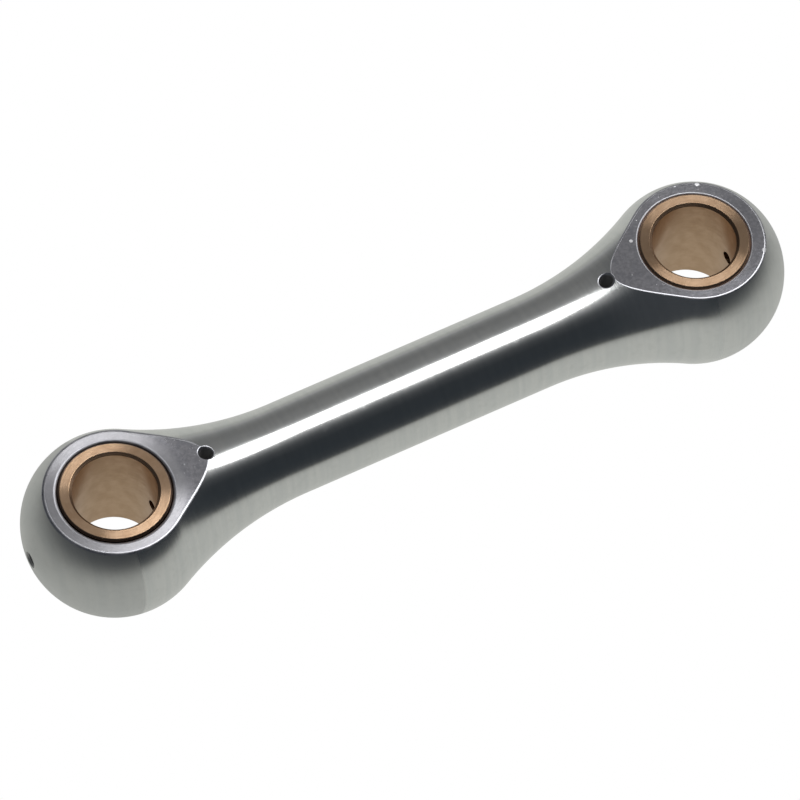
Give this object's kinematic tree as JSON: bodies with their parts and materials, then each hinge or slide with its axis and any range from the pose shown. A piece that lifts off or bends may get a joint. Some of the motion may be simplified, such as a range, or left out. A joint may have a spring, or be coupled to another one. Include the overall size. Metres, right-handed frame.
{
  "type": "connecting rod",
  "caption": "Small-engine connecting rod: slim turned aluminium shank between two flat-sided ball ends, each with a pressed-in bronze bush and small oil holes.",
  "frame": {"origin": "centre of the crank-pin bore at mid-thickness of the rod", "axes": "+X along the rod from the crank-pin bore to the piston-pin bore, +Z along both bores towards the flats with the oil holes, +Y across the rod"},
  "size_m": [0.0593, 0.0132, 0.0088],
  "materials": {
    "polished_aluminium": "polished, with fine turning marks; flats lapped",
    "bearing_bronze": "machined"
  },
  "bodies": {
    "root": {"rod_body": "polished_aluminium", "crank_end_bush": "bearing_bronze", "piston_end_bush": "bearing_bronze"}
  },
  "joints": []
}
